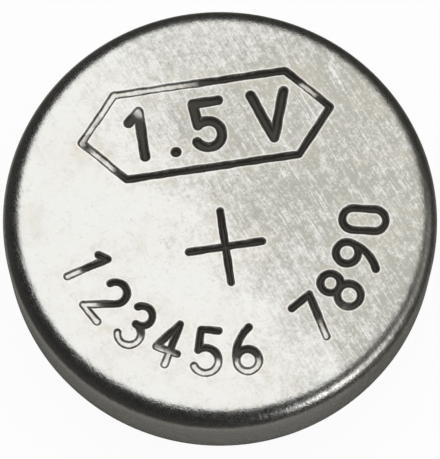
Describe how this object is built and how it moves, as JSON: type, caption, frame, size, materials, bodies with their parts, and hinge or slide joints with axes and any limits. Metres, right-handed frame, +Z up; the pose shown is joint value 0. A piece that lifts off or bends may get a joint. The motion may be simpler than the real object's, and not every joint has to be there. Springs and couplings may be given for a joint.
{
  "type": "alkaline button cell",
  "caption": "Small round alkaline button cell: a stamped positive can crimped over a stepped negative cap, with a gasket between them and the electrodes sealed inside.",
  "frame": {"origin": "centre of the negative cap's flat contact face, which is the lowest point", "axes": "+Z up the cell's axis to the stamped positive face; the stamped marks read along +X"},
  "size_m": [0.0068, 0.0068, 0.0026],
  "materials": {
    "can_plating": "nickel-plated steel, satin, with fine handling scratches",
    "cap_plating": "nickel-plated steel, pressed, satin",
    "gasket_nylon": "moulded nylon, matt, slightly translucent",
    "cathode_black": "pressed manganese dioxide and graphite powder",
    "barrier_film": "thin regenerated cellulose film",
    "absorbent_fibre": "soft fibre paper",
    "zinc_gel": "zinc powder in a thick gel"
  },
  "bodies": {
    "root": {"positive_can": "can_plating", "negative_cap": "cap_plating", "gasket": "gasket_nylon", "cathode_pellet": "cathode_black", "barrier_film": "barrier_film", "absorbent_disc": "absorbent_fibre", "anode_gel": "zinc_gel"}
  },
  "joints": []
}
